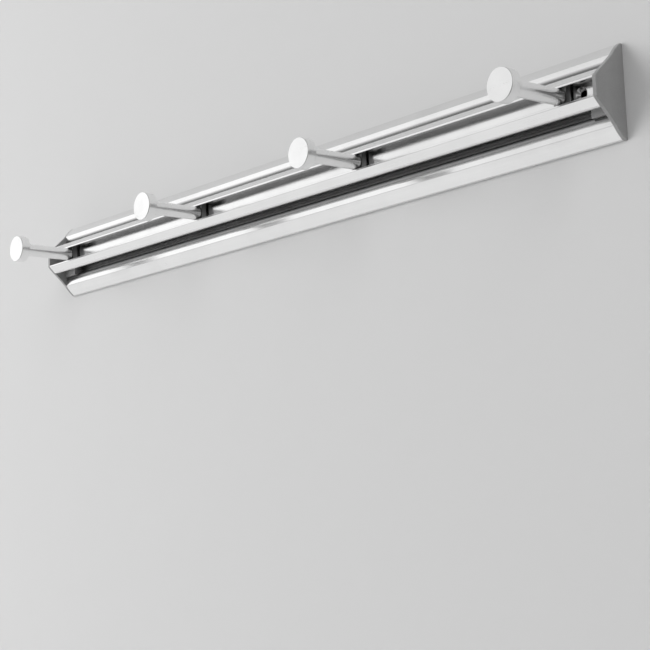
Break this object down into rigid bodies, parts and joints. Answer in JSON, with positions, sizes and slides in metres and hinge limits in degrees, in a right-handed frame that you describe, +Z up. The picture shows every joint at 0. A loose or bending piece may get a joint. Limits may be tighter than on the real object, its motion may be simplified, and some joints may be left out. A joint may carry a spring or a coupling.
{
  "type": "wall hook rack",
  "caption": "Long wall-mounted rail of mirrored section with a front slot, grey end caps, and plain round pegs with thick drum heads that slide along the slot and turn to clamp.",
  "frame": {"origin": "middle of the rail's flat back, on the wall plane", "axes": "+X along the rail, +Z up, -Y out from the wall; the pegs point along -Y"},
  "size_m": [0.6, 0.0723, 0.0574],
  "materials": {
    "rail": "polished",
    "cap": "matt",
    "peg": "bright turned",
    "steel": "plain",
    "pad": "matt"
  },
  "bodies": {
    "rail": {"rail_extrusion": "rail", "end_cap_left": "cap", "end_cap_right": "cap"},
    "carriage_1": {"slot_nut_1": "steel"},
    "turned_peg_1": {"peg_1": "peg", "stud_1": "steel", "end_pad_1": "pad"},
    "carriage_2": {"slot_nut_2": "steel"},
    "turned_peg_2": {"peg_2": "peg", "stud_2": "steel", "end_pad_2": "pad"},
    "carriage_3": {"slot_nut_3": "steel"},
    "turned_peg_3": {"peg_3": "peg", "stud_3": "steel", "end_pad_3": "pad"},
    "carriage_4": {"slot_nut_4": "steel"},
    "turned_peg_4": {"peg_4": "peg", "stud_4": "steel", "end_pad_4": "pad"}
  },
  "joints": [
    {"name": "carriage_1_slide", "type": "slide", "parent": "rail", "child": "carriage_1", "axis": [1, 0, 0], "range_m": [-0.019, 0.078]},
    {"name": "peg_1_turn", "type": "hinge", "parent": "carriage_1", "child": "turned_peg_1", "pos_m": [-0.27, 0, 0], "axis": [0, -1, 0], "range_deg": [0, 180]},
    {"name": "carriage_2_slide", "type": "slide", "parent": "rail", "child": "carriage_2", "axis": [1, 0, 0], "range_m": [-0.078, 0.078]},
    {"name": "peg_2_turn", "type": "hinge", "parent": "carriage_2", "child": "turned_peg_2", "pos_m": [-0.09, 0, 0], "axis": [0, -1, 0], "range_deg": [0, 180]},
    {"name": "carriage_3_slide", "type": "slide", "parent": "rail", "child": "carriage_3", "axis": [1, 0, 0], "range_m": [-0.078, 0.078]},
    {"name": "peg_3_turn", "type": "hinge", "parent": "carriage_3", "child": "turned_peg_3", "pos_m": [0.09, 0, 0], "axis": [0, -1, 0], "range_deg": [0, 180]},
    {"name": "carriage_4_slide", "type": "slide", "parent": "rail", "child": "carriage_4", "axis": [1, 0, 0], "range_m": [-0.078, 0.019]},
    {"name": "peg_4_turn", "type": "hinge", "parent": "carriage_4", "child": "turned_peg_4", "pos_m": [0.27, 0, 0], "axis": [0, -1, 0], "range_deg": [0, 180]}
  ]
}
